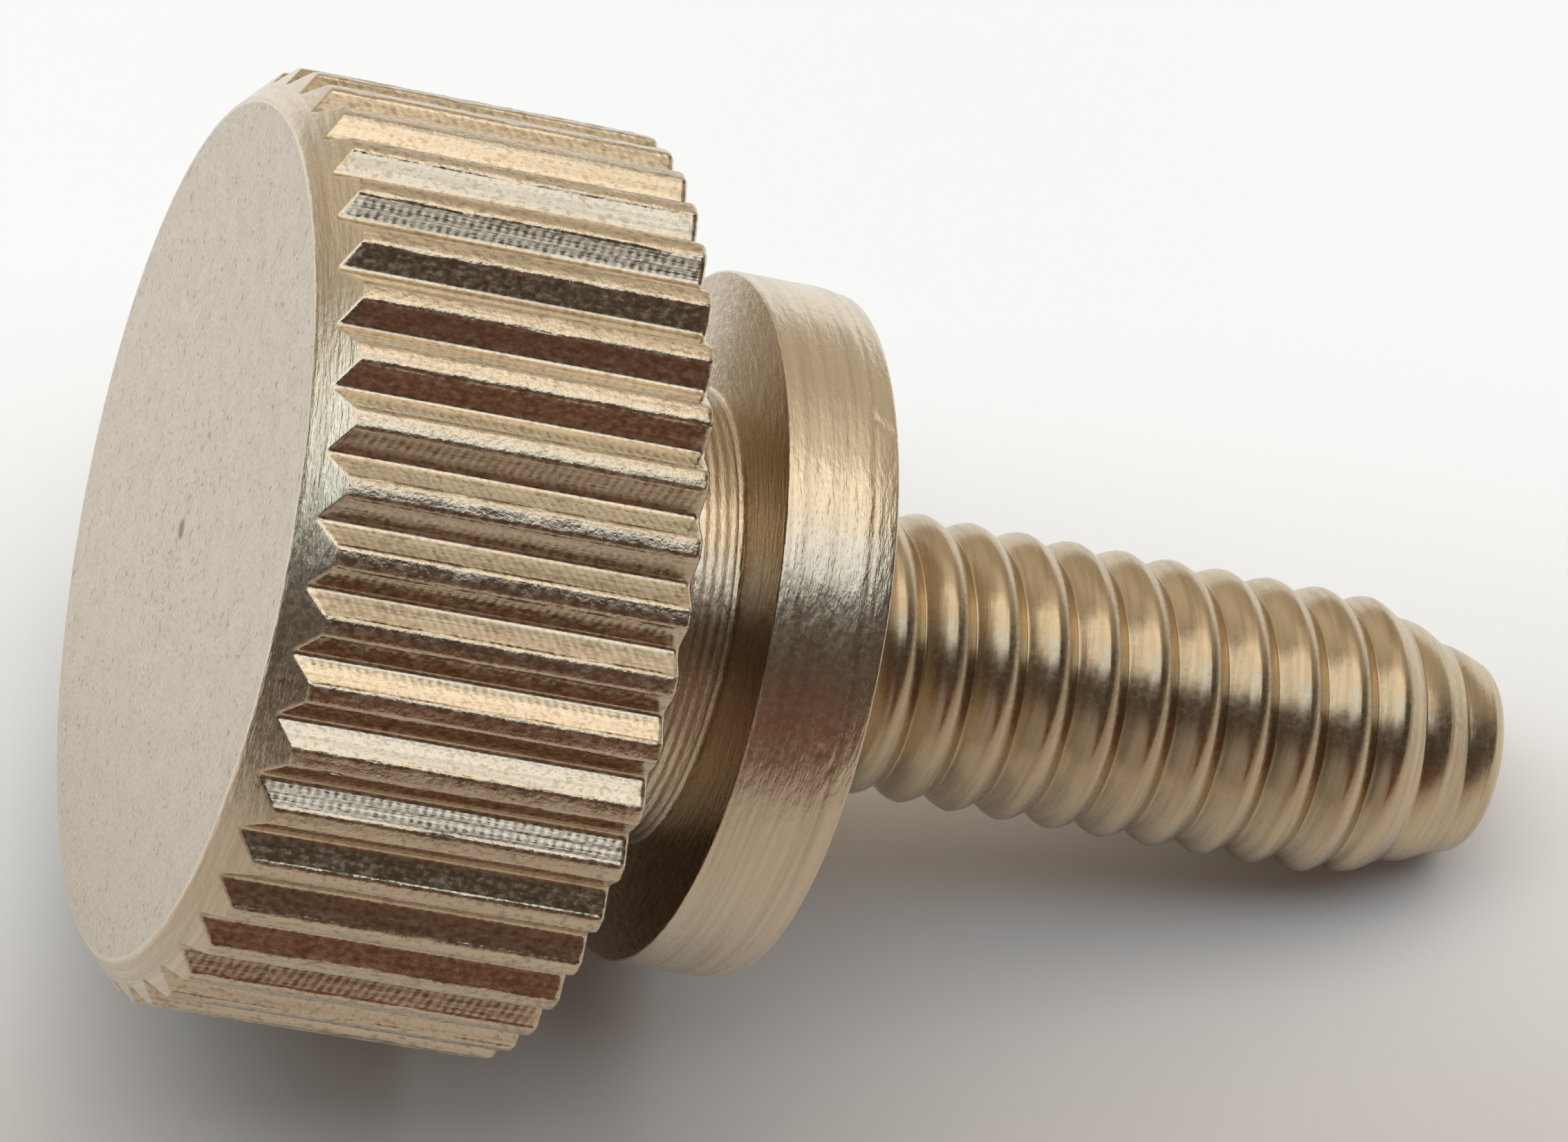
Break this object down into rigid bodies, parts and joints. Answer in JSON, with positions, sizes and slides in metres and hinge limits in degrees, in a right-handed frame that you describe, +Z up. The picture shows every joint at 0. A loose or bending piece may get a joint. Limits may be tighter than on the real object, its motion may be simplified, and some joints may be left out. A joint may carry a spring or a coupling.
{
  "type": "knurled thumb screw",
  "caption": "Thumb screw turned in one piece: straight-knurled round head, neck, collar and a threaded shank with a coned tip; turned by hand to clamp or fasten small parts.",
  "frame": {"origin": "centre of the resting footprint's box, on the surface that the screw lies on", "axes": "+Z up, +X along the lying screw from its head towards its tip"},
  "size_m": [0.019, 0.012, 0.0128],
  "materials": {
    "nickel": "turned and nickel-plated, warm silver"
  },
  "bodies": {
    "root": {"thumb_screw": "nickel"}
  },
  "joints": []
}
